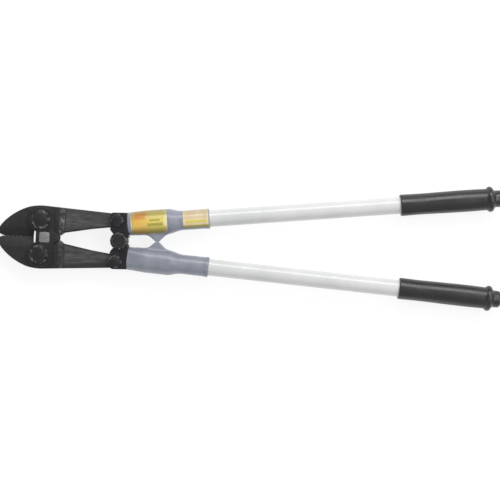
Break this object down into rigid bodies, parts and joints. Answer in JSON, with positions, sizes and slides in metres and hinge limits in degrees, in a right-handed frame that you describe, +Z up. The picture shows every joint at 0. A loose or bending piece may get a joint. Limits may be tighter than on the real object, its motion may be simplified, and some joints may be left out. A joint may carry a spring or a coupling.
{
  "type": "bolt cutters",
  "caption": "Two-hand bolt cutters with forged jaws on side plates, long arms, half-lapped knuckles, cast sockets with stop lugs, tube handles and rubber grips.",
  "frame": {"origin": "on the floor the closed tool lies on, straight below the centre bolt, at the centre of its head's underside", "axes": "+X along the bisector of the closed handles, towards the grips; +Z up along the pivots, square to the tool's plane; the blades point along -X"},
  "size_m": [0.7571, 0.1864, 0.038],
  "materials": {
    "forged_black": "satin, forged",
    "plate_black": "satin",
    "knuckle_black": "satin, forged",
    "badge_metal": "brushed, blank",
    "bolt_black": "black oxide",
    "washer_steel": "dull zinc",
    "socket_grey": "satin, cast",
    "pin_steel": "ground",
    "label_film": "printed film, orange and yellow, no lettering",
    "tube_white": "gloss powder coat",
    "grip_rubber": "satin"
  },
  "bodies": {
    "head": {"top_side_plate": "plate_black", "bottom_side_plate": "plate_black", "plate_badge": "badge_metal", "upper_jaw_bolt": "bolt_black", "lower_jaw_bolt": "bolt_black", "upper_jaw_nut": "bolt_black", "lower_jaw_nut": "bolt_black", "jaw_washers": "washer_steel"},
    "upper_jaw": {"upper_jaw": "forged_black"},
    "lower_jaw": {"lower_jaw": "forged_black"},
    "centre_pivot": {"centre_bolt": "bolt_black", "centre_nut": "bolt_black", "centre_washers": "washer_steel"},
    "upper_handle": {"upper_knuckle": "knuckle_black", "upper_socket": "socket_grey", "upper_tube": "tube_white", "upper_grip": "grip_rubber", "upper_knuckle_pins": "pin_steel", "upper_tube_pin": "pin_steel", "upper_joint_bolt": "bolt_black", "upper_joint_nut": "bolt_black", "upper_joint_washers": "washer_steel", "body_label": "label_film", "ferrule_label": "label_film"},
    "lower_handle": {"lower_knuckle": "knuckle_black", "lower_socket": "socket_grey", "lower_tube": "tube_white", "lower_grip": "grip_rubber", "lower_knuckle_pins": "pin_steel", "lower_tube_pin": "pin_steel", "lower_joint_bolt": "bolt_black", "lower_joint_nut": "bolt_black", "lower_joint_washers": "washer_steel"}
  },
  "joints": [
    {"name": "centre_slide", "type": "slide", "parent": "head", "child": "centre_pivot", "axis": [0.9996, -0.0297, 0], "range_m": [0, 0.02332]},
    {"name": "upper_handle_hinge", "type": "hinge", "parent": "centre_pivot", "child": "upper_handle", "pos_m": [0, 0, 0.019], "axis": [0, 0, 1], "range_deg": [0, 50]},
    {"name": "lower_handle_hinge", "type": "hinge", "parent": "centre_pivot", "child": "lower_handle", "pos_m": [0, 0, 0.019], "axis": [0, 0, -1], "range_deg": [0, 50]},
    {"name": "upper_jaw_hinge", "type": "hinge", "parent": "head", "child": "upper_jaw", "pos_m": [-0.11718, 0.02949, 0.019], "axis": [0, 0, -1], "range_deg": [0, 6.24]},
    {"name": "lower_jaw_hinge", "type": "hinge", "parent": "head", "child": "lower_jaw", "pos_m": [-0.11872, -0.02249, 0.019], "axis": [0, 0, 1], "range_deg": [0, 6.24]}
  ],
  "couplings": [
    {"joint": "lower_handle_hinge", "follows": "upper_handle_hinge", "ratio": 1},
    {"joint": "centre_slide", "follows": "upper_handle_hinge", "m_per_rad": 0.026715},
    {"joint": "upper_jaw_hinge", "follows": "upper_handle_hinge", "ratio": 0.12457},
    {"joint": "lower_jaw_hinge", "follows": "upper_handle_hinge", "ratio": 0.12457}
  ]
}
